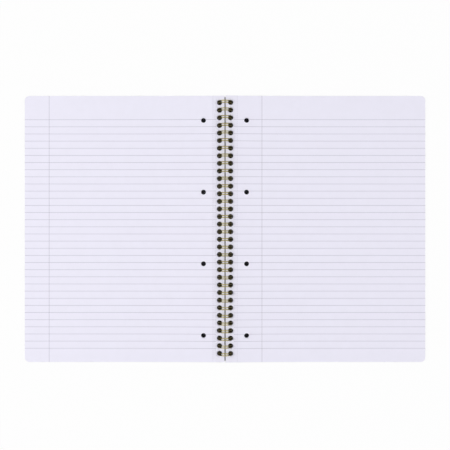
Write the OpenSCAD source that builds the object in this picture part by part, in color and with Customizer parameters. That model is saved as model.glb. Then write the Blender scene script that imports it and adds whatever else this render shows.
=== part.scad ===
// Open wire-bound notebook, lying flat on a table.
// The origin is the middle of the spine, on the table: +X is to the right,
// +Y is to the top of the pages and +Z is up.

/* [Leaves] */
// Width of a leaf, from its edge at the spine to its outer edge
leaf_w = 223; // [180:1:260]
// Height of a leaf, from its bottom edge to its top edge
leaf_h = 297; // [291:1:320]
// Thickness of one leaf
leaf_t = 0.1; // [0.07:0.01:0.11]
// Number of leaves turned to the left
left_leaves = 40; // [10:1:42]
// Number of leaves turned to the right
right_leaves = 40; // [10:1:42]
// Radius of the rounded outer corners of leaves and covers
corner_r = 5; // [2:0.5:12]
// Width of the slit between the left and the right half at the spine
spine_slit = 1.2; // [0.8:0.1:2]

/* [Covers] */
// Thickness of the card of the two covers
cover_t = 0.8; // [0.4:0.1:1]
// Height of the underside of the covers above the table at the wire holes
cover_lift = 2.1; // [1.9:0.1:2.3]
// Distance from the spine at which the covers come down flat on the table
landing_x = 125; // [90:1:150]

/* [Wire] */
// Inner diameter of the closed loops
ring_inner_d = 14.3; // [14.2:0.1:15]
// Diameter of the wire
wire_d = 1; // [0.8:0.05:1.1]
// Distance between the two wires of one loop
twin_gap = 2.2; // [1.8:0.1:2.4]
// Radius of the bends at the foot of each loop
foot_r = 1; // [0.8:0.1:1.1]

/* [Holes] */
// Number of wire holes along the spine
hole_count = 34; // [20:1:34]
// Distance from one wire hole to the next
hole_pitch = 8.4667; // [8.2:0.0001:8.5]
// Diameter of the wire holes
hole_d = 5.8; // [5.6:0.1:6]
// Distance of the wire holes from the middle of the spine
hole_x = 6.15; // [6:0.05:6.3]
// Diameter of the filing holes
file_hole_d = 5.5; // [5:0.1:6.5]
// Distance of the filing holes from the middle of the spine
file_hole_x = 24.05; // [22:0.05:30]
// Distance from one filing hole to the next
file_hole_pitch = 80; // [70:1:85]
// Distance by which all holes lie above the middle of the leaf
punch_rise = 1.1; // [0:0.1:1.5]

/* [Clearances] */
// Space between layers that lie on each other
lay_gap = 0.1; // [0.1:0.05:0.2]
// Space between the tip of a loop and the feet that it is pressed against
tip_gap = 0.15; // [0.15:0.05:0.3]

/* [Hidden] */

round_fn = 48;
wire_fn = 24;
ring_fn = 72;
file_hole_count = 4;
cut_over = 5;
bend_steps = 6;
splice = 0.2;
splice_angle = 2;

// Edges of a leaf, measured from the middle of the spine
spine_x = spine_slit / 2;
fore_x = spine_x + leaf_w;

// The closed loops stand on the table, and both halves turn about their centre
ring_r = (ring_inner_d + wire_d) / 2;
ring_z = ring_inner_d / 2 + wire_d;

// Feet of the loops: short bars that lie on the back cover, under the last leaf
bar_r = sqrt(pow(ring_r, 2) + pow(foot_r, 2));
bar_z = cover_lift + cover_t + lay_gap + wire_d / 2;
bar_angle = asin((bar_z - ring_z) / bar_r);
bar_len = hole_pitch - twin_gap - 2 * foot_r;

// The arcs of a loop run from the feet once round to the tip, which bends back
// close to the feet without touching them
tip_r = twin_gap / 2;
tip_reach = sqrt(pow(foot_r + tip_r + wire_d + tip_gap, 2) - pow(tip_r + foot_r, 2));
tip_space = tip_reach - foot_r;
arc_start = bar_angle + atan2(foot_r, ring_r);
arc_end = bar_angle + 360 - (tip_space / ring_r) * 180 / PI;

arc_half = (arc_end - arc_start) / 2;

// Leaves above the feet of the loops are raised by them near the spine
feet_lift = wire_d + lay_gap;
feet_landing_x = landing_x / 2;

// Height of a strip that is held up at the wire holes and comes down to land at
// the distance to_x, bent by its own weight
function droop(x, to_x, rise) =
    let (u = max(0, (to_x - x) / (to_x - hole_x)))
    rise * pow(u, 3) * (2 - u);

function cover_under(x) = droop(x, landing_x, cover_lift);
function left_under(x) = cover_under(x) + cover_t + lay_gap;
function right_under(x) = left_under(x) + droop(x, feet_landing_x, feet_lift);

// Distances from the spine at which the layers bend
bend_x = [
    spine_x,
    for (i = [0 : bend_steps]) 2 * hole_x + (landing_x - 2 * hole_x) * i / bend_steps,
    fore_x
];
cover_heights = [for (x = bend_x) cover_under(x)];
left_heights = [for (x = bend_x) left_under(x)];
right_heights = [for (x = bend_x) right_under(x)];

function row_y(i, count, pitch) = punch_rise + (i - (count - 1) / 2) * pitch;

module row_of_holes(x, d, count, pitch) {
    for (i = [0 : count - 1])
        translate([x, row_y(i, count, pitch), -cut_over])
            cylinder(d = d, h = ring_z + 2 * cut_over, $fn = round_fn);
}

module wire_holes() {
    row_of_holes(hole_x, hole_d, hole_count, hole_pitch);
}

module filing_holes() {
    row_of_holes(file_hole_x, file_hole_d, file_hole_count, file_hole_pitch);
}

// Outline of a leaf from above: square at the spine, rounded at the outer corners
module leaf_outline() {
    translate([spine_x, -leaf_h / 2])
        square([leaf_w - corner_r, leaf_h]);
    translate([spine_x, corner_r - leaf_h / 2])
        square([leaf_w, leaf_h - 2 * corner_r]);
    for (side = [-1, 1])
        translate([fore_x - corner_r, side * (leaf_h / 2 - corner_r)])
            circle(r = corner_r, $fn = round_fn);
}

// A layer of the given thickness over the given heights of its underside
module layer(heights, thickness) {
    last = len(bend_x) - 1;
    under = [for (i = [0 : last]) [bend_x[i], heights[i]]];
    top = [for (i = [last : -1 : 0]) [bend_x[i], heights[i] + thickness]];
    intersection() {
        rotate([90, 0, 0])
            linear_extrude(leaf_h + 2 * cut_over, center = true)
                polygon(concat(under, top));
        translate([0, 0, -cut_over])
            linear_extrude(ring_z + 2 * cut_over)
                leaf_outline();
    }
}

module cover() {
    difference() {
        layer(cover_heights, cover_t);
        wire_holes();
    }
}

module page_block(heights, thickness) {
    difference() {
        layer(heights, thickness);
        wire_holes();
        filing_holes();
    }
}

// Part of a ring of wire that lies flat, from one angle to another
module wire_arc(r, from, to) {
    rotate_extrude(angle = to - from, start = from, $fn = ring_fn)
        translate([r, 0])
            circle(d = wire_d, $fn = wire_fn);
}

// Places things that stand on the table round the axis of the loops, turned by
// an angle from +X towards +Z
module about_axis(angle) {
    translate([0, 0, ring_z])
        rotate([0, -angle, 0])
            children();
}

// Part of the circle of a loop in its own upright plane
module loop_arc(from, to) {
    rotate([90, 0, 0])
        wire_arc(ring_r, from, to);
}

// Part of a small bend in the plane that touches the circle where it crosses +X.
// Its angles run from the spine direction +Y towards greater loop angles.
module side_bend(y, r, from, to) {
    translate([ring_r, y, 0])
        rotate([0, -90, 0])
            wire_arc(r, from, to);
}

// One side of a loop: half the circle with its foot and bar, and the other half
module loop_side() {
    about_axis(arc_start) {
        translate([0, tip_r, 0])
            loop_arc(0, arc_half + splice_angle);
        side_bend(tip_r + foot_r, foot_r, 180, 270);
        translate([ring_r, tip_r + foot_r, -foot_r])
            rotate([-90, 0, 0])
                cylinder(d = wire_d, h = bar_len / 2 + splice, $fn = wire_fn);
    }
    about_axis(arc_end)
        translate([0, tip_r, 0])
            loop_arc(-arc_half, 0);
}

// One closed loop of double wire
module loop() {
    loop_side();
    mirror([0, 1, 0])
        loop_side();
    about_axis(arc_end)
        side_bend(0, tip_r, -90, 90);
}

module front_cover() {
    color("#1f2024")
        mirror([1, 0, 0])
            cover();
}

module left_pages() {
    color("ghostwhite")
        mirror([1, 0, 0])
            page_block(left_heights, left_leaves * leaf_t);
}

module right_pages() {
    color("ghostwhite")
        page_block(right_heights, right_leaves * leaf_t);
}

module back_cover() {
    color("#1f2024")
        cover();
}

module binding_wire() {
    color("#cdbf94")
        for (i = [0 : hole_count - 1])
            translate([0, row_y(i, hole_count, hole_pitch), 0])
                loop();
}

front_cover();
left_pages();
right_pages();
back_cover();
binding_wire();
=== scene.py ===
# %% [markdown]
# # An open wire-bound notebook
#
# The notebook lies open and flat: two blocks of lined leaves, two black covers under them, and a double
# wire that runs through a row of round holes on both sides of the spine. The frame brings the solids at
# their real size, and this lesson gives them their finish. +X points to the right-hand page, +Y to the
# top of the pages and +Z up, in metres.

import random
from math import atan2, cos, degrees, pi, radians, sin, sqrt

import bmesh
import bpy
from mathutils import Matrix, Vector


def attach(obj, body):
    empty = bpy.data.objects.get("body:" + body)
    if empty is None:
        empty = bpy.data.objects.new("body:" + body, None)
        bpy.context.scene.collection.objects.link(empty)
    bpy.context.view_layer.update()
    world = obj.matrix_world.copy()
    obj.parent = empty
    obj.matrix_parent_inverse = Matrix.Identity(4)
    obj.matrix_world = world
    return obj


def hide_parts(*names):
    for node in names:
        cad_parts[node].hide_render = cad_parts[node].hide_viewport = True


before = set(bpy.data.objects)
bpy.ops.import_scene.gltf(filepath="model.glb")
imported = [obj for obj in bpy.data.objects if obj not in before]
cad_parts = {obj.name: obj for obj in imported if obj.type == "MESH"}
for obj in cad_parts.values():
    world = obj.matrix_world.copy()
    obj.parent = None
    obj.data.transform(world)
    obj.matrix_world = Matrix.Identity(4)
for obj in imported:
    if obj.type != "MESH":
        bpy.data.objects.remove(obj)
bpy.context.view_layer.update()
MM = 0.001
print("nodes:", sorted(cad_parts))

# %% [markdown]
# ## How the layers lie
#
# The closed loops stand on the table and hold the covers a little off it. Away from the wire each layer
# comes down until it lies flat, bent by its own weight. A strip that is lifted at one end and loaded by
# its own weight follows a fourth-power curve, so one short function gives the height of every layer, and
# all layers stay apart by design. The right-hand leaves lie higher at the spine, because the feet of the
# wire loops are under them.

# %% Sizes of the leaves and the curve that they follow
LEAF_W, LEAF_H = 223 * MM, 297 * MM
SPINE_X = 0.6 * MM  # from the middle of the spine to the leaves
CORNER_R = 5 * MM
LEAF_T = 0.1 * MM
LEAVES = 40
COVER_T = 0.8 * MM
LAY_GAP = 0.1 * MM

HOLE_X, HOLE_D, HOLE_COUNT, HOLE_PITCH = 6.15 * MM, 5.8 * MM, 34, 8.4667 * MM
FILE_X, FILE_D, FILE_COUNT, FILE_PITCH = 24.05 * MM, 5.5 * MM, 4, 80 * MM
PUNCH_RISE = 1.1 * MM

COVER_LIFT, COVER_LANDING = 2.1 * MM, 125 * MM
FEET_LIFT, FEET_LANDING = 1.1 * MM, 62.5 * MM


def droop(x, landing, rise):
    """Height at x of a strip that is raised by rise at the wire holes and lies flat beyond landing."""
    u = max(0, (landing - x) / (landing - HOLE_X))
    return rise * u**3 * (2 - u)


def cover_under(x):
    return droop(x, COVER_LANDING, COVER_LIFT)


def left_under(x):
    return cover_under(x) + COVER_T + LAY_GAP


def right_under(x):
    return left_under(x) + droop(x, FEET_LANDING, FEET_LIFT)


def row_y(count, pitch):
    """Places along the spine of a row of holes."""
    return [PUNCH_RISE + (i - (count - 1) / 2) * pitch for i in range(count)]


print("top of the left leaves at the holes, mm:", round((left_under(HOLE_X) + LEAVES * LEAF_T) / MM, 2))
print("top of the right leaves at the holes, mm:", round((right_under(HOLE_X) + LEAVES * LEAF_T) / MM, 2))

# %% [markdown]
# ## A sheet with rounded corners
#
# Leaves and covers share one outline: square at the spine and rounded at the two outer corners. A
# one-cell grid is scaled to the sheet, its two outer corners are rounded with a vertex bevel, and the
# face is extruded to a slab. Working on the flat sheet first, and bending it last, keeps every cut a
# plain straight one.


# %% The flat slab
CORNER_STEPS = 8


def flat_slab(thickness):
    """A slab with the outline of a leaf, lying flat on z = 0 to the right of the spine."""
    bm = bmesh.new()
    bmesh.ops.create_grid(bm, x_segments=1, y_segments=1, size=0.5)
    bmesh.ops.scale(bm, vec=(LEAF_W, LEAF_H, 1), verts=bm.verts)
    bmesh.ops.translate(bm, vec=(SPINE_X + LEAF_W / 2, 0, 0), verts=bm.verts)
    outer = [v for v in bm.verts if v.co.x > LEAF_W / 2]
    bmesh.ops.bevel(
        bm,
        geom=outer,
        offset=CORNER_R,
        offset_type="OFFSET",
        segments=CORNER_STEPS,
        profile=0.5,
        affect="VERTICES",
        material=-1,
    )
    grown = bmesh.ops.extrude_face_region(bm, geom=bm.faces[:])
    raised = [g for g in grown["geom"] if isinstance(g, bmesh.types.BMVert)]
    bmesh.ops.translate(bm, vec=(0, 0, thickness), verts=raised)
    bmesh.ops.recalc_face_normals(bm, faces=bm.faces[:])
    return bm


# %% [markdown]
# ## Leaf edges
#
# A block of leaves is not a smooth brick. Each leaf is cut a hair longer or shorter than the next, so the
# sides of the block are finely stepped. The slab is sliced at the height of every leaf and each slice
# line is drawn in by its own small random amount. The top and bottom stay at full size, so the block
# keeps its measures.


# %% Slice the slab into leaves
STEP_IN = 0.14 * MM  # the most that a leaf stays back from its neighbours


def slice_at(bm, place, across):
    """Cuts the whole slab along a plane and keeps both sides."""
    everything = bm.verts[:] + bm.edges[:] + bm.faces[:]
    bmesh.ops.bisect_plane(bm, geom=everything, plane_co=place, plane_no=across)


def slice_into_leaves(bm, count, rng):
    """Cuts level lines round the slab, one for each leaf, and draws each line in a little."""
    for k in range(1, count):
        slice_at(bm, (0, 0, k * LEAF_T), (0, 0, 1))
    for k in range(1, count):
        ring = [v for v in bm.verts if abs(v.co.z - k * LEAF_T) < 0.1 * LEAF_T]
        shrink_x = 1 - rng.uniform(0, STEP_IN) / LEAF_W
        shrink_y = 1 - rng.uniform(0, STEP_IN) / (LEAF_H / 2)
        at_spine = Matrix.Translation((-SPINE_X, 0, 0))
        bmesh.ops.scale(bm, vec=(shrink_x, shrink_y, 1), space=at_spine, verts=ring)


# %% [markdown]
# ## Lines to bend along
#
# The slab is still flat, and a flat face can't bend. It gets a straight cut every few millimetres,
# parallel to the spine, as far out as the curve goes.

# %% Cut the slab for bending
BEND_STEP = 2.5 * MM


def cut_for_bending(bm):
    """Cuts the slab parallel to the spine, from the wire holes to where it lies flat."""
    x = HOLE_X
    while x < COVER_LANDING:
        slice_at(bm, (x, 0, 0), (1, 0, 0))
        x += BEND_STEP


# %% [markdown]
# ## Punched holes
#
# The wire holes and the filing holes go through the whole block, with walls that catch the light. A
# cutter object made of short cylinders, taken away with a Boolean modifier, gives every hole its wall in
# one step.


# %% Punch the holes
HOLE_SIDES = 28


def punch(bm, name, rows, thickness):
    """A new mesh with the holes cut out. rows holds (x, diameter, count, pitch)."""
    cut = bmesh.new()
    for x, d, count, pitch in rows:
        for y in row_y(count, pitch):
            bmesh.ops.create_cone(
                cut,
                cap_ends=True,
                segments=HOLE_SIDES,
                radius1=d / 2,
                radius2=d / 2,
                depth=3 * thickness,
                matrix=Matrix.Translation((x, y, thickness / 2)),
            )
    objects = []
    for part, label in ((bm, name + "_uncut"), (cut, name + "_cutter")):
        mesh = bpy.data.meshes.new(label)
        part.to_mesh(mesh)
        part.free()
        thing = bpy.data.objects.new(label, mesh)
        bpy.context.scene.collection.objects.link(thing)
        objects.append(thing)
    blank, cutter = objects
    hole = blank.modifiers.new("punch", "BOOLEAN")
    hole.operation, hole.solver, hole.object = "DIFFERENCE", "EXACT", cutter
    graph = bpy.context.evaluated_depsgraph_get()
    mesh = bpy.data.meshes.new_from_object(blank.evaluated_get(graph))
    for thing in objects:
        bpy.data.objects.remove(thing)
    return mesh


# %% [markdown]
# ## Bending a flat sheet
#
# The top and bottom of the flat sheet are made of triangles, and then every point is raised by the height
# of the curve at its distance from the spine. The left half is the right half mirrored, so its faces are
# turned round again afterwards. Each point first writes down which leaf it belongs to, as an attribute,
# because after bending its height no longer says so.


# %% Bend, mirror and finish a sheet
SHEET_CREASE = radians(30)  # sharper edges than this stay crisp
FACE_TILT = 0.9  # faces that point this much up or down are the top or the underside


def bend_sheet(mesh, name, under, side, node, body, mats):
    """Turns the flat mesh into the finished piece.

    mats holds the materials of its top, its underside and its edges.
    """
    bm = bmesh.new()
    bm.from_mesh(mesh)
    bmesh.ops.triangulate(bm, faces=[f for f in bm.faces if abs(f.normal.z) > FACE_TILT])
    bm.normal_update()
    leaf_no = bm.verts.layers.float.new("leaf_no")
    for v in bm.verts:
        v[leaf_no] = v.co.z / LEAF_T
    for f in bm.faces:
        f.material_index = 0 if f.normal.z > FACE_TILT else 1 if f.normal.z < -FACE_TILT else 2
        f.smooth = True
    for v in bm.verts:
        v.co.z += under(v.co.x)
    if side < 0:
        bmesh.ops.scale(bm, vec=(-1, 1, 1), verts=bm.verts)
        bmesh.ops.reverse_faces(bm, faces=bm.faces[:])
    bm.to_mesh(mesh)
    bm.free()
    mesh.set_sharp_from_angle(angle=SHEET_CREASE)
    piece = bpy.data.objects.new(name, mesh)
    bpy.context.scene.collection.objects.link(piece)
    for mat in mats:
        mesh.materials.append(mat)
    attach(piece, body)
    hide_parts(node)
    print(name, "has", sum(len(p.vertices) - 2 for p in mesh.polygons), "triangles")


# %% [markdown]
# ## Building materials from small groups
#
# The printed lines, the line of perforation and the tooth of the paper appear in more than one material.
# Each is a node group with named inputs, made once, that puts out a mask or a value. A short helper adds
# a node, sets its values and links its inputs, so that a group reads like a recipe.


# %% Helpers for node trees
def add(tree, kind, settings=None, **inputs):
    """Adds a node and fills its inputs, by name or, as in n0, by number.

    A tuple of (node, output) makes a link. Other values are set on the socket.
    """
    node = tree.nodes.new(kind)
    for key, value in (settings or {}).items():
        setattr(node, key, value)
    for key, value in inputs.items():
        by_number = key[0] == "n" and key[1:].isdigit()
        socket = node.inputs[int(key[1:]) if by_number else key.replace("_", " ")]
        if isinstance(value, tuple) and isinstance(value[0], bpy.types.Node):
            tree.links.new(value[0].outputs[value[1]], socket)
        else:
            socket.default_value = value
    return node


def maths(tree, operation, a, b=0.0, c=0.0):
    """One Math node. Returns its output as an input for the next."""
    node = add(tree, "ShaderNodeMath", {"operation": operation}, n0=a, n1=b, n2=c)
    return (node, 0)


def new_group(name, inputs, outputs):
    """An empty node group with float inputs (name, value) and outputs (name).

    Returns its tree, its inputs node and its outputs node.
    """
    tree = bpy.data.node_groups.new(name, "ShaderNodeTree")
    for label, value in inputs:
        tree.interface.new_socket(label, in_out="INPUT", socket_type="NodeSocketFloat").default_value = value
    for label in outputs:
        tree.interface.new_socket(label, in_out="OUTPUT", socket_type="NodeSocketFloat")
    return tree, tree.nodes.new("NodeGroupInput"), tree.nodes.new("NodeGroupOutput")


def object_axes(tree):
    """X, Y and Z of the place on the piece, in metres."""
    coords = add(tree, "ShaderNodeTexCoord")
    split = add(tree, "ShaderNodeSeparateXYZ", n0=(coords, "Object"))
    return (split, 0), (split, 1), (split, 2)


def band(tree, distance, half_width, blur):
    """1 where distance is below half_width and 0 beyond it, with a soft edge."""
    inner = maths(tree, "SUBTRACT", half_width, blur)
    outer = maths(tree, "ADD", half_width, blur)
    ramp = add(
        tree,
        "ShaderNodeMapRange",
        {"interpolation_type": "SMOOTHSTEP"},
        Value=distance,
        From_Min=inner,
        From_Max=outer,
        To_Min=1.0,
        To_Max=0.0,
    )
    return (ramp, 0)


# %% [markdown]
# ## Printed lines
#
# The leaves are ruled with thin grey-lilac lines a hair under 8 mm apart, with a wider blank at the top.
# Dividing the place by the spacing and rounding it gives the nearest line, and the distance to that line
# gives the mask. The lines stop at the wire holes. Margin lines run the full height at one distance from
# the spine.


# %% Ruled lines and margin line
INK_BLUR = 0.04  # all sizes of printed lines and slits are in mm


def make_ruling():
    """Masks of the ruled lines and of one margin line."""
    tree, inp, out = new_group(
        "ruled lines",
        [
            ("First line", 122.0),
            ("Spacing", 7.975),
            ("Last", 32.0),
            ("Width", 0.3),
            ("Inner end", 9.6),
            ("Margin line", 41.0),
        ],
        ["Lines", "Margin"],
    )
    x, y, _ = object_axes(tree)
    x_mm = maths(tree, "MULTIPLY", maths(tree, "ABSOLUTE", x), 1 / MM)
    y_mm = maths(tree, "MULTIPLY", y, 1 / MM)
    count = maths(tree, "DIVIDE", maths(tree, "SUBTRACT", (inp, "First line"), y_mm), (inp, "Spacing"))
    near = maths(tree, "ROUND", count)
    held = maths(tree, "MINIMUM", maths(tree, "MAXIMUM", near, 0.0), (inp, "Last"))
    apart = maths(tree, "ABSOLUTE", maths(tree, "SUBTRACT", count, held))
    away = maths(tree, "MULTIPLY", apart, (inp, "Spacing"))
    half = maths(tree, "MULTIPLY", (inp, "Width"), 0.5)
    lines = band(tree, away, half, INK_BLUR)
    outside = maths(tree, "GREATER_THAN", x_mm, (inp, "Inner end"))
    tree.links.new(maths(tree, "MULTIPLY", lines, outside)[0].outputs[0], out.inputs["Lines"])
    aside = maths(tree, "ABSOLUTE", maths(tree, "SUBTRACT", x_mm, (inp, "Margin line")))
    tree.links.new(band(tree, aside, half, INK_BLUR)[0].outputs[0], out.inputs["Margin"])
    return tree


ruling = make_ruling()
print("group:", ruling.name)

# %% [markdown]
# ## Perforation
#
# A row of fine slits beside the wire holes lets a leaf be torn out cleanly. The slits are far thinner
# than the mesh should carry, so they are a mask: a thin band at one distance from the spine, broken up
# along the spine by a repeating pattern of cut and bridge.


# %% Perforated tear-off line
SLIT_BLUR = 0.05


def make_perforation():
    """A mask of the slits beside the wire holes."""
    tree, inp, out = new_group(
        "tear-off perforation",
        [("Distance", 13.5), ("Width", 0.25), ("Repeat", 2.2), ("Cut share", 0.6)],
        ["Slits"],
    )
    x, y, _ = object_axes(tree)
    x_mm = maths(tree, "MULTIPLY", maths(tree, "ABSOLUTE", x), 1 / MM)
    y_mm = maths(tree, "MULTIPLY", y, 1 / MM)
    aside = maths(tree, "ABSOLUTE", maths(tree, "SUBTRACT", x_mm, (inp, "Distance")))
    strip = band(tree, aside, maths(tree, "MULTIPLY", (inp, "Width"), 0.5), SLIT_BLUR)
    phase = maths(tree, "FLOORED_MODULO", y_mm, (inp, "Repeat"))
    length = maths(tree, "MULTIPLY", (inp, "Repeat"), (inp, "Cut share"))
    cut = maths(tree, "LESS_THAN", phase, length)
    tree.links.new(maths(tree, "MULTIPLY", strip, cut)[0].outputs[0], out.inputs["Slits"])
    return tree


perforation = make_perforation()
print("group:", perforation.name)

# %% [markdown]
# ## The tooth of paper and card
#
# Writing paper is not evenly white. Held close it shows a faint cloudiness where the pulp settled, and
# short fibres that roughen its surface. Two noises of different size, one of them stretched, give both:
# one output tints the colour and the other lifts the surface.


# %% Paper fibre
FIBRE_TURN = (0.0, 0.0, 0.5)
FIBRE_STRETCH = (1.0, 2.4, 1.0)


def make_fibre():
    """A soft cloudiness and the height of fine fibres. Its sizes are in mm."""
    tree, inp, out = new_group(
        "pulp and fibre",
        [("Cloud size", 9.0), ("Fibre size", 0.35)],
        ["Cloud", "Height"],
    )
    coords = add(tree, "ShaderNodeTexCoord")
    cloud_scale = maths(tree, "DIVIDE", 1 / MM, (inp, "Cloud size"))
    fibre_scale = maths(tree, "DIVIDE", 1 / MM, (inp, "Fibre size"))
    cloud = add(
        tree,
        "ShaderNodeTexNoise",
        Vector=(coords, "Object"),
        Scale=cloud_scale,
        Detail=3.0,
        Roughness=0.6,
    )
    stretch = add(
        tree,
        "ShaderNodeMapping",
        Vector=(coords, "Object"),
        Rotation=FIBRE_TURN,
        Scale=FIBRE_STRETCH,
    )
    hairs = add(
        tree,
        "ShaderNodeTexNoise",
        Vector=(stretch, 0),
        Scale=fibre_scale,
        Detail=4.0,
        Roughness=0.65,
    )
    tree.links.new(cloud.outputs[0], out.inputs["Cloud"])
    tree.links.new(hairs.outputs[0], out.inputs["Height"])
    return tree


fibre = make_fibre()
print("group:", fibre.name)

# %% [markdown]
# ## Colours and layers
#
# Colours are judged by eye as a screen shows them, from 0 to 255, but shaders count in amounts of light.
# One helper turns the first into the second, and a few more make a material, place a group in it, mix
# colours and lift the surface, so that every finish below reads as a stack of layers.

# %% Helpers for materials
SCREEN_TOE = 0.04  # below this the screen's curve is a straight line


def light_of(level):
    """The amount of light of one screen value, both from 0 to 1."""
    return level / 12.92 if level <= SCREEN_TOE else ((level + 0.055) / 1.055) ** 2.4


def linear(r, g, b):
    """A colour as it is seen on a screen, 0 to 255, in the values that the shaders use."""
    return (light_of(r / 255), light_of(g / 255), light_of(b / 255), 1.0)


def new_material(name, **principled):
    """A material with a Principled BSDF. Returns the material, its tree and the shader."""
    mat = bpy.data.materials.new(name)
    mat.use_nodes = True
    shader = mat.node_tree.nodes["Principled BSDF"]
    for key, value in principled.items():
        shader.inputs[key.replace("_", " ")].default_value = value
    return mat, mat.node_tree, shader


def use_group(tree, group, **values):
    """Places a group in a material, with its own values."""
    node = tree.nodes.new("ShaderNodeGroup")
    node.node_tree = group
    for key, value in values.items():
        node.inputs[key.replace("_", " ")].default_value = value
    return node


def mix(tree, a, b, factor):
    """Mixes colour a towards colour b by factor."""
    node = add(tree, "ShaderNodeMix", {"data_type": "RGBA"}, n0=factor, n6=a, n7=b)
    return (node, 2)


def bump(tree, shader, height, distance, strength=1.0):
    """Feeds a height, 0 to 1 over the given distance in metres, to the shader's normal."""
    node = add(tree, "ShaderNodeBump", Height=height, Distance=distance, Strength=strength)
    tree.links.new(node.outputs["Normal"], shader.inputs["Normal"])


# %% [markdown]
# ## Paper
#
# The leaves are smooth white writing paper with a faint lavender cast. A leaf's front has its margin line
# near the spine, and its back has it near the outer edge, so there are two versions of one material. The
# ink lies over the paper colour and varies a little, as thin printed lines do.

# %% Printed paper
PAPER = linear(239, 237, 251)
PAPER_CLOUD = linear(235, 233, 246)
INK = linear(149, 145, 165)
INK_THIN = linear(176, 172, 189)
MARGIN_INK = linear(154, 150, 168)
SLIT_SHADE = linear(188, 186, 200)
PAPER_RELIEF = 0.03 * MM
FRONT_MARGIN, BACK_MARGIN = 41.15, 196.4  # from the middle of the spine


def printed_paper(name, margin_mm):
    """Ruled paper with one margin line at the given distance from the spine."""
    mat, tree, shader = new_material(name, Roughness=0.72, Specular_IOR_Level=0.35)
    pulp = use_group(tree, fibre, Cloud_size=9.0, Fibre_size=0.35)
    print_lines = use_group(tree, ruling, Margin_line=margin_mm)
    slits = use_group(tree, perforation)
    ground = mix(tree, PAPER, PAPER_CLOUD, (pulp, "Cloud"))
    ink = mix(tree, INK, INK_THIN, (pulp, "Height"))
    ruled = mix(tree, ground, ink, (print_lines, "Lines"))
    with_margin = mix(tree, ruled, MARGIN_INK, (print_lines, "Margin"))
    finished = mix(tree, with_margin, SLIT_SHADE, (slits, "Slits"))
    tree.links.new(finished[0].outputs[2], shader.inputs["Base Color"])
    relief = maths(tree, "SUBTRACT", (pulp, "Height"), (slits, "Slits"))
    bump(tree, shader, relief, PAPER_RELIEF, 0.5)
    return mat


leaf_front = printed_paper("leaf, front side", FRONT_MARGIN)
leaf_back = printed_paper("leaf, back side", BACK_MARGIN)
print("materials:", leaf_front.name, "and", leaf_back.name)

# %% [markdown]
# ## Leaf edges and hole walls
#
# Seen from the side, a block of paper shows the pale cut edge of each leaf and a thin shadow between two
# leaves. The attribute that says which leaf a point belongs to gives both, the shadow as painted shade: its
# fraction is darkest at a whole number, and its whole part picks a slightly different tone for each leaf.


# %% Cut edges of the leaves
EDGE_PALE = linear(242, 239, 249)
EDGE_DULL = linear(228, 225, 236)
EDGE_FIBRE = linear(212, 209, 222)
# painted shade in the thin gap between two leaves
EDGE_GAP_SHADE = linear(165, 161, 175)
GAP_HALF, GAP_BLUR = 0.14, 0.1  # in thicknesses of a leaf
EDGE_SHARE = 0.35  # how much of the fibre and gap colours shows
EDGE_RELIEF = 0.04 * MM


def leaf_edges():
    """The side of a block of leaves, told apart by the number of each leaf."""
    mat, tree, shader = new_material("leaf edges", Roughness=0.85, Specular_IOR_Level=0.25)
    leaf = add(tree, "ShaderNodeAttribute", {"attribute_name": "leaf_no"})
    number = (leaf, "Fac")
    part = maths(tree, "FRACT", number)
    to_gap = maths(tree, "MINIMUM", part, maths(tree, "SUBTRACT", 1.0, part))
    leaf_gap_shade = band(tree, to_gap, GAP_HALF, GAP_BLUR)
    whole = maths(tree, "FLOOR", number)
    tone = add(tree, "ShaderNodeTexWhiteNoise", {"noise_dimensions": "1D"}, W=whole)
    pulp = use_group(tree, fibre, Cloud_size=4.0, Fibre_size=0.2)
    body = mix(tree, EDGE_PALE, EDGE_DULL, (tone, "Value"))
    body = mix(tree, body, EDGE_FIBRE, maths(tree, "MULTIPLY", (pulp, "Height"), EDGE_SHARE))
    # painted shade between the leaves, over the edge colour
    finished = mix(tree, body, EDGE_GAP_SHADE, maths(tree, "MULTIPLY", leaf_gap_shade, EDGE_SHARE))
    tree.links.new(finished[0].outputs[2], shader.inputs["Base Color"])
    bump(tree, shader, maths(tree, "SUBTRACT", (pulp, "Height"), leaf_gap_shade), EDGE_RELIEF, 0.6)
    return mat


edge_paper = leaf_edges()
print("material:", edge_paper.name)

# %% [markdown]
# ## The two blocks of leaves
#
# Now each block runs through the steps above in one order: a slab, cuts to bend along, slices for the
# leaves, holes, and last the bend. The left block shows the backs of its leaves on top and the right
# block shows the fronts. Each has its own seed, so its steps are random but come out the same in every
# run.

# %% Build the two blocks of leaves
BLOCK_T = LEAVES * LEAF_T
HOLE_ROWS = [(HOLE_X, HOLE_D, HOLE_COUNT, HOLE_PITCH), (FILE_X, FILE_D, FILE_COUNT, FILE_PITCH)]


def leaf_block(name, under, side, node, mats, seed):
    """All leaves of one half as one piece."""
    slab = flat_slab(BLOCK_T)
    cut_for_bending(slab)
    slice_into_leaves(slab, LEAVES, random.Random(seed))
    mesh = punch(slab, name, HOLE_ROWS, BLOCK_T)
    bend_sheet(mesh, name, under, side, node, node, mats)


leaf_block("left_leaves", left_under, -1, "left_pages", (leaf_back, leaf_front, edge_paper), 3)
leaf_block("right_leaves", right_under, 1, "right_pages", (leaf_front, leaf_back, edge_paper), 8)

# %% [markdown]
# ## Covers
#
# The covers are black card, dyed through, with a dull face and a fine grain. Both of their faces have one
# material and their cut edges have a slightly paler one, made by the same function with other colours.


# %% Black card
CARD_RELIEF = 0.05 * MM


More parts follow.
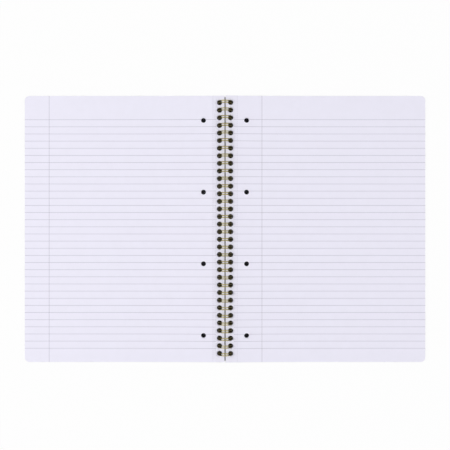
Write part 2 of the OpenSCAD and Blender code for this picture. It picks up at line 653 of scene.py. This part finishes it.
def black_card(name, face, cloud):
    """Dull card in two close tones."""
    mat, tree, shader = new_material(name, Roughness=0.6, Specular_IOR_Level=0.15)
    grain = use_group(tree, fibre, Cloud_size=14.0, Fibre_size=0.5)
    tone = mix(tree, face, cloud, (grain, "Cloud"))
    tree.links.new(tone[0].outputs[2], shader.inputs["Base Color"])
    rough = add(tree, "ShaderNodeMapRange", Value=(grain, "Height"), To_Min=0.52, To_Max=0.72)
    tree.links.new(rough.outputs[0], shader.inputs["Roughness"])
    bump(tree, shader, (grain, "Height"), CARD_RELIEF, 0.7)
    return mat


cover_face = black_card("black cover card", linear(20, 20, 23), linear(31, 30, 34))
cover_edge = black_card("black card, cut edge", linear(34, 32, 33), linear(58, 55, 56))
print("materials:", cover_face.name, "and", cover_edge.name)

# %% [markdown]
# ## The two covers
#
# The covers are made like the leaves, from the same slab, but with no slices and no filing holes. Die-cut
# card has no knife-sharp rims, so the edges between its faces and its sides are eased a little, and they
# catch the light.

# %% Build the two covers
EASE, EASE_STEPS = 0.12 * MM, 2


def is_rim(edge):
    """Whether an edge is level and lies between a face and a side of the slab."""
    square = abs(edge.calc_face_angle() - pi / 2) < 0.1  # radians
    return square and edge.verts[0].co.z == edge.verts[1].co.z


def cover(name, side, node):
    """One cover, which moves with the body of the same name as its node."""
    slab = flat_slab(COVER_T)
    bmesh.ops.bevel(
        slab,
        geom=[e for e in slab.edges if is_rim(e)],
        offset=EASE,
        offset_type="OFFSET",
        segments=EASE_STEPS,
        profile=0.5,
        affect="EDGES",
        material=-1,
    )
    cut_for_bending(slab)
    mesh = punch(slab, name, HOLE_ROWS[:1], COVER_T)
    mats = (cover_face, cover_face, cover_edge)
    bend_sheet(mesh, name, cover_under, side, node, node, mats)


cover("front_cover_card", -1, "front_cover")
cover("back_cover_card", 1, "back_cover")

# %% [markdown]
# ## The double wire
#
# One steel wire makes all the loops. It runs along the spine, bends up into a loop, goes once round to
# the tip, turns back on itself, returns beside its own track and bends away to the next loop. A circle
# that is spun about one axis after another draws exactly that, and the tube stays one piece from end to
# end.

# %% Sizes of the wire
WIRE_R = 0.5 * MM
RING_R, RING_Z = 7.65 * MM, 8.15 * MM
TWIN = 1.1 * MM  # half the distance between the two strands of a loop
FOOT_R = 1 * MM
TIP_GAP = 0.15 * MM
BAR_Z = COVER_LIFT + COVER_T + LAY_GAP + WIRE_R
BAR_R = sqrt(RING_R**2 + FOOT_R**2)
BAR_ANGLE = -atan2(RING_Z - BAR_Z, sqrt(BAR_R**2 - (RING_Z - BAR_Z) ** 2))
BAR_LEN = HOLE_PITCH - 2 * TWIN - 2 * FOOT_R
TIP_SPACE = sqrt((FOOT_R + TWIN + 2 * WIRE_R + TIP_GAP) ** 2 - (TWIN + FOOT_R) ** 2) - FOOT_R
ARC_START = BAR_ANGLE + atan2(FOOT_R, RING_R)
ARC_END = BAR_ANGLE + 2 * pi - TIP_SPACE / RING_R

WIRE_SIDES = 12
ARC_STEPS, TIP_STEPS, FOOT_STEPS = 44, 8, 5
print("a loop turns through, degrees:", round(degrees(ARC_END - ARC_START), 1))
print("bar between two loops, mm:", round(BAR_LEN / MM, 2))

# %% [markdown]
# ## Bending one loop
#
# The end of the wire is a ring of twelve edges. A spin sweeps it round a bend and an extrusion runs it
# straight on, and both hand back the new end, so the loop is bent step by step as on a wire-forming
# machine.


# %% Bends and straights
def on_ring(angle, y):
    """A place on the circle of a loop."""
    return Vector((RING_R * cos(angle), y, RING_Z + RING_R * sin(angle)))


def corners_of(geom):
    """The points in a list of points, edges and faces."""
    return [g for g in geom if isinstance(g, bmesh.types.BMVert)]


def edges_of(geom):
    """The edges in a list of points, edges and faces."""
    return [g for g in geom if isinstance(g, bmesh.types.BMEdge)]


def bend(bm, ring, centre, axis, angle, steps):
    """Sweeps the end of the wire round a bend and returns its new end."""
    swept = bmesh.ops.spin(
        bm,
        geom=ring,
        cent=centre,
        axis=axis,
        angle=angle,
        steps=steps,
        use_duplicate=False,
    )
    return [g for g in swept["geom_last"] if isinstance(g, (bmesh.types.BMEdge, bmesh.types.BMVert))]


def straight(bm, ring, length):
    """Runs the end of the wire on along the spine and returns its new end."""
    grown = bmesh.ops.extrude_edge_only(bm, edges=edges_of(ring))
    verts = corners_of(grown["geom"])
    bmesh.ops.translate(bm, vec=(0, length, 0), verts=verts)
    kept = set(verts)
    return verts + [e for e in edges_of(grown["geom"]) if kept.issuperset(e.verts)]


# %% Draw one loop
def draw_loop():
    """One double loop about y = 0, from the middle of one bar to that of the next, its ends open."""
    bm = bmesh.new()
    bar = Vector((BAR_R * cos(BAR_ANGLE), -HOLE_PITCH / 2, BAR_Z))
    facing = Matrix.Translation(bar) @ Matrix.Rotation(pi / 2, 4, "X")
    bmesh.ops.create_circle(bm, cap_ends=False, segments=WIRE_SIDES, radius=WIRE_R, matrix=facing)
    ring = bm.verts[:] + bm.edges[:]
    out_start = Vector((cos(ARC_START), 0, sin(ARC_START)))
    out_end = Vector((cos(ARC_END), 0, sin(ARC_END)))
    sweep = ARC_END - ARC_START
    middle = (0, 0, RING_Z)
    ring = straight(bm, ring, BAR_LEN / 2)
    ring = bend(bm, ring, on_ring(ARC_START, -TWIN - FOOT_R), out_start, pi / 2, FOOT_STEPS)
    ring = bend(bm, ring, middle, (0, -1, 0), sweep, ARC_STEPS)
    ring = bend(bm, ring, on_ring(ARC_END, 0), -out_end, pi, TIP_STEPS)
    ring = bend(bm, ring, middle, (0, 1, 0), sweep, ARC_STEPS)
    ring = bend(bm, ring, on_ring(ARC_START, TWIN + FOOT_R), out_start, pi / 2, FOOT_STEPS)
    ring = straight(bm, ring, BAR_LEN / 2)
    reached = sum((v.co for v in corners_of(ring)), Vector()) / WIRE_SIDES
    return bm, reached - bar


wire_bm, run = draw_loop()
print("from the start of a loop to its end, mm:", [round(c / MM, 3) for c in run])

# %% [markdown]
# ## One wire from end to end
#
# The other loops are copies of the first, each a hole further along, so their open ends meet. Merging the
# points that coincide joins them to one wire, and its first and last end get a cap.

# %% Set the loops end to end
MERGE = 0.002 * MM


def repeat_loop(bm):
    """Sets a row of loops end to end, joins them to one wire and closes its two ends."""
    loop = bm.verts[:] + bm.edges[:] + bm.faces[:]
    places = row_y(HOLE_COUNT, HOLE_PITCH)
    for y in places[1:]:
        copied = bmesh.ops.duplicate(bm, geom=loop)
        moved = corners_of(copied["geom"])
        bmesh.ops.translate(bm, vec=(0, y - places[0], 0), verts=moved)
    bmesh.ops.translate(bm, vec=(0, places[0], 0), verts=bm.verts)
    bmesh.ops.remove_doubles(bm, verts=bm.verts, dist=MERGE)
    bmesh.ops.holes_fill(bm, edges=[e for e in bm.edges if e.is_boundary], sides=WIRE_SIDES)
    bmesh.ops.recalc_face_normals(bm, faces=bm.faces[:])
    for f in bm.faces:
        f.smooth = True


repeat_loop(wire_bm)
print("open edges left on the wire:", sum(e.is_boundary for e in wire_bm.edges))

# %% [markdown]
# ## Coated wire
#
# The wire has a pale gold coating over steel, smooth and satin, with fine drawing marks. From the holes
# outwards, both sides of every loop are painted darker than the crossing above the spine. This is painted
# shade for the shadow and the dark reflection inside the holes. The distance from the spine tells where that
# is. The shader's specular tint darkens the metal where it is seen edge on.


# %% Pale gold coating
GOLD, GOLD_CLOUD = linear(170, 160, 101), linear(190, 180, 121)
# painted shade: from the holes outwards the loops take these darker colours
HOLE_SHADE_GOLD, HOLE_SHADE_CLOUD = linear(77, 70, 40), linear(99, 91, 56)
HOLE_SHADE_START, HOLE_SHADE_END = 2.6 * MM, 4.4 * MM  # from the middle of the spine
EDGE_ON_TINT = (0.4, 0.37, 0.28, 1.0)
DRAWN_RELIEF = 0.01 * MM


def pale_gold():
    """A satin coating, with painted shade on the loops from the holes outwards."""
    mat, tree, shader = new_material("pale gold coating", Metallic=0.62, Specular_Tint=EDGE_ON_TINT)
    marks = use_group(tree, fibre, Cloud_size=3.0, Fibre_size=0.12)
    x, _, _ = object_axes(tree)
    # painted shade mask: 0 over the spine and 1 from the holes outwards
    hole_shade_mask = add(
        tree,
        "ShaderNodeMapRange",
        {"interpolation_type": "SMOOTHSTEP"},
        Value=maths(tree, "ABSOLUTE", x),
        From_Min=HOLE_SHADE_START,
        From_Max=HOLE_SHADE_END,
    )
    crest_gold = mix(tree, GOLD, GOLD_CLOUD, (marks, "Cloud"))
    shaded_gold = mix(tree, HOLE_SHADE_GOLD, HOLE_SHADE_CLOUD, (marks, "Cloud"))
    # painted shade on the loops at the holes, over the coating colour
    tone = mix(tree, crest_gold, shaded_gold, (hole_shade_mask, 0))
    tree.links.new(tone[0].outputs[2], shader.inputs["Base Color"])
    rough = add(tree, "ShaderNodeMapRange", Value=(marks, "Height"), To_Min=0.16, To_Max=0.32)
    tree.links.new(rough.outputs[0], shader.inputs["Roughness"])
    bump(tree, shader, (marks, "Height"), DRAWN_RELIEF, 0.5)
    return mat


coating = pale_gold()
print("material:", coating.name)

# %% Finish the wire
WIRE_CREASE = radians(50)

wire_mesh = bpy.data.meshes.new("double_wire")
wire_bm.to_mesh(wire_mesh)
wire_bm.free()
wire_mesh.set_sharp_from_angle(angle=WIRE_CREASE)
wire_mesh.materials.append(coating)
wire = bpy.data.objects.new("double_wire", wire_mesh)
bpy.context.scene.collection.objects.link(wire)
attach(wire, "back_cover")
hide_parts("binding_wire")
print("double wire has", sum(len(p.vertices) - 2 for p in wire_mesh.polygons), "triangles")

# %% [markdown]
# ## Floor
#
# The floor is plain white and keeps a soft shadow. Seen by the camera it is mostly light of its own and
# partly a lit surface, so it reads as white paper with the shadow still on it. Under the notebook it must
# not glow, or the slit at the spine and the punched holes would be bright. Ambient occlusion measures how
# much of the space just above each point is open. Where most of it is closed, the glow is taken away and the
# floor's colour is turned dark. That is painted shade under the notebook and just beside it. Where it is
# open, the pale surface throws some light up at the sides of the leaves. That works in every position of the
# covers.


# %% White floor
CLOSED, OPEN = 0.45, 0.59  # open share of the space above, under the notebook and beside it
REACH = 8 * MM  # how far up that space goes
GLOW = 0.95  # share of its own light where it is seen
# painted shade: the floor colour where the space above is closed
FLOOR_PAINTED_SHADE = (0.1, 0.1, 0.1, 1.0)
PALE_FLOOR = (0.8, 0.8, 0.8, 1.0)
WHITE = (1.0, 1.0, 1.0, 1.0)


def seen_rays(tree):
    """1 for rays that come from the camera, a reflection or clear glass, and 0 for rays of light."""
    path = add(tree, "ShaderNodeLightPath")
    seen = maths(tree, "MAXIMUM", (path, "Is Camera Ray"), (path, "Is Glossy Ray"))
    return maths(tree, "MAXIMUM", seen, (path, "Is Transmission Ray"))


def white_floor():
    """A floor that glows where it is open and seen, and is a lit surface otherwise, painted dark where the
    space above is closed.
    """
    mat = bpy.data.materials.new("white floor")
    mat.use_nodes = True
    tree = mat.node_tree
    tree.nodes.clear()
    above = add(tree, "ShaderNodeAmbientOcclusion", {"samples": 16}, Distance=REACH)
    clear = add(
        tree,
        "ShaderNodeMapRange",
        {"interpolation_type": "SMOOTHSTEP"},
        Value=(above, "AO"),
        From_Min=CLOSED,
        From_Max=OPEN,
    )
    glow_share = maths(tree, "MULTIPLY", maths(tree, "MULTIPLY", seen_rays(tree), (clear, 0)), GLOW)
    # painted shade: the floor colour goes dark where the space above is closed
    tone = mix(tree, FLOOR_PAINTED_SHADE, PALE_FLOOR, (clear, 0))
    lit = add(tree, "ShaderNodeBsdfDiffuse", Color=tone)
    glow = add(tree, "ShaderNodeEmission", Color=WHITE, Strength=1.0)
    both = add(tree, "ShaderNodeMixShader", n0=glow_share, n1=(lit, 0), n2=(glow, 0))
    add(tree, "ShaderNodeOutputMaterial", Surface=(both, 0))
    return mat


# %% Lay the floor
FLOOR_HALF = 4  # metres from its middle to its sides
FLOOR_Z = -0.05 * MM  # just under the covers

floor_bm = bmesh.new()
bmesh.ops.create_grid(floor_bm, x_segments=1, y_segments=1, size=FLOOR_HALF)
bmesh.ops.translate(floor_bm, vec=(0, 0, FLOOR_Z), verts=floor_bm.verts)
floor_mesh = bpy.data.meshes.new("floor")
floor_bm.to_mesh(floor_mesh)
floor_bm.free()
floor = bpy.data.objects.new("floor", floor_mesh)
floor.data.materials.append(white_floor())
bpy.context.scene.collection.objects.link(floor)
print("the floor is", 2 * FLOOR_HALF, "m wide")

# %% [markdown]
# ## Light
#
# Flat things are photographed from above between two large lamps, one on each side, which send their
# reflection past the camera. Their height is a choice: low lamps throw the shadow of the loops far out on
# the pages, and high ones shine straight down into the punched holes. At 50 degrees the shadow stays
# beside the holes and the holes stay dark. The left lamp is stronger, so the left page is the lighter
# one. Two weak lamps, beyond the head and the foot of the pages, keep the cut edges there from going
# grey.
#
# The room round it all fills the shadows. As a light it is dim, and where the camera or a reflection sees
# it, it is nearly white, like the floor. Together they light white paper to just below white.

# %% The room
ROOM, ROOM_SEEN = 0.2, 0.96  # its strength as light, and where it is seen

scene = bpy.context.scene
world = bpy.data.worlds.new("room")
scene.world = world
world.use_nodes = True
room = world.node_tree
strength = maths(room, "MULTIPLY_ADD", seen_rays(room), ROOM_SEEN - ROOM, ROOM)
background = room.nodes["Background"]
background.inputs["Color"].default_value = WHITE
room.links.new(strength[0].outputs[0], background.inputs["Strength"])
print("the room gives", ROOM, "as light and shows as", ROOM_SEEN)

# %% Four lamps
LAMP_SIZE = (1.2, 0.7)  # metres
# name: x, y and z in metres, and watts
LAMPS = {
    "left_lamp": (-1.2, 0.0, 1.45, 19.4),
    "right_lamp": (1.2, 0.0, 1.45, 13.7),
    "front_lamp": (0.0, -1.5, 0.7, 3.2),
    "back_lamp": (0.0, 1.5, 0.7, 3.2),
}
for name, (x, y, z, watts) in LAMPS.items():
    lamp_data = bpy.data.lights.new(name, "AREA")
    lamp_data.shape = "RECTANGLE"
    lamp_data.size, lamp_data.size_y = LAMP_SIZE
    lamp_data.energy = watts
    lamp = bpy.data.objects.new(name, lamp_data)
    lamp.location = (x, y, z)
    lamp.rotation_euler = (-lamp.location).to_track_quat("-Z", "Y").to_euler()
    scene.collection.objects.link(lamp)
power = sum(watts for _, _, _, watts in LAMPS.values())
print(len(LAMPS), "lamps,", round(power, 1), "W in all")

# %% [markdown]
# ## Camera
#
# The photograph was taken from straight above. Its frame is square, and the scale and place of the
# notebook in it give the width of the view and the point that the camera looks at. The wire loops, which
# stand above the pages, lean slightly outwards towards the top and bottom of the picture, and that gives
# the camera's height.

# %% Camera straight above the notebook
PIXELS = 450
PIXEL = 1.1166 * MM  # on the pages
CENTRE_X, CENTRE_Y = -0.05 * PIXEL, 3.95 * PIXEL  # of the picture, from the middle of the spine
PAGE_TOP = 4.9 * MM
CAMERA_ABOVE = 800 * MM
SENSOR = 36  # millimetres, as Blender counts its cameras

camera_data = bpy.data.cameras.new("camera")
camera_data.sensor_width = SENSOR
camera_data.lens = SENSOR * CAMERA_ABOVE / (PIXELS * PIXEL)
camera = bpy.data.objects.new("camera", camera_data)
camera.location = (CENTRE_X, CENTRE_Y, PAGE_TOP + CAMERA_ABOVE)
scene.collection.objects.link(camera)
scene.camera = camera
scene.view_settings.view_transform = "Standard"
print("lens, mm:", round(camera_data.lens, 1))
